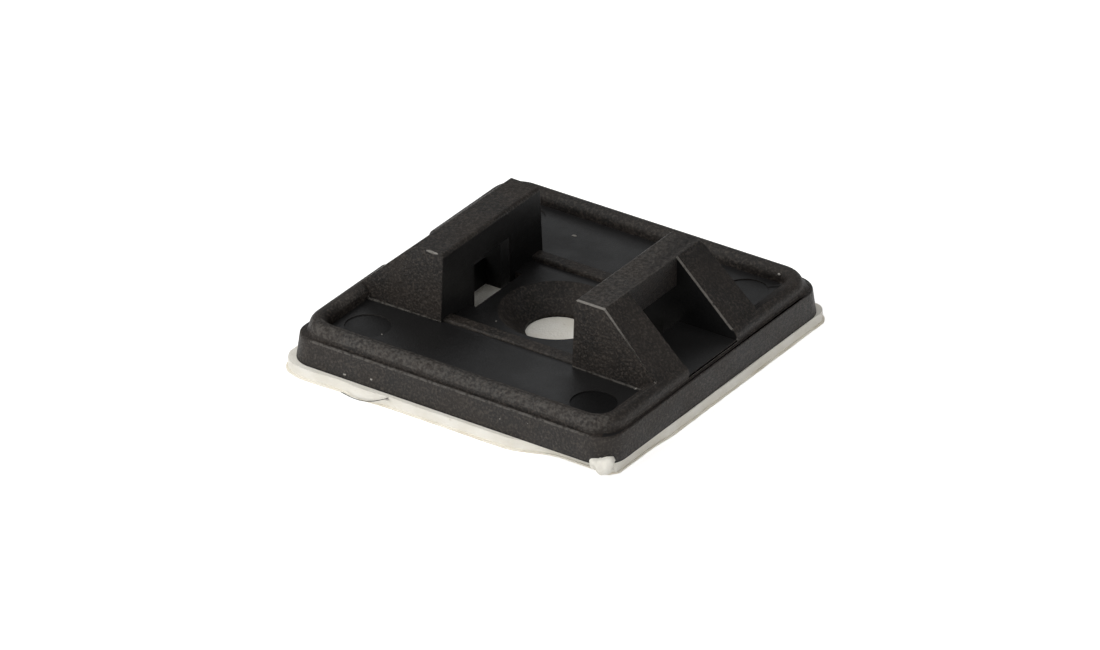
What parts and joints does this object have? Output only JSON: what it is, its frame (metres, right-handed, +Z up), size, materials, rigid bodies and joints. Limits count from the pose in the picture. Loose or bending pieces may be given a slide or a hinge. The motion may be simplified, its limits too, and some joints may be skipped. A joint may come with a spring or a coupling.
{
  "type": "adhesive cable tie mount",
  "caption": "Square stick-on base with a round-topped rim, a countersunk screw hole and two slotted bridges that hold cable ties, on a foam tape pad.",
  "frame": {"origin": "on the underside of the release liner, straight below the centre of the moulded base and of its screw hole", "axes": "+Z up out of the base, along the screw hole; X across the cable channel from one bridge to the other; Y along the bridges and along the cables"},
  "size_m": [0.0287, 0.0289, 0.0083],
  "materials": {
    "black_nylon": "fine-grained moulded black, a little lighter and browner where it is worn or faces the light",
    "foam_tape": "off-white closed-cell foam, matt, with a slightly open cut edge",
    "liner_paper": "cream waxed release paper"
  },
  "bodies": {
    "root": {"mount_body": "black_nylon", "foam_pad": "foam_tape", "release_liner": "liner_paper"}
  },
  "joints": []
}
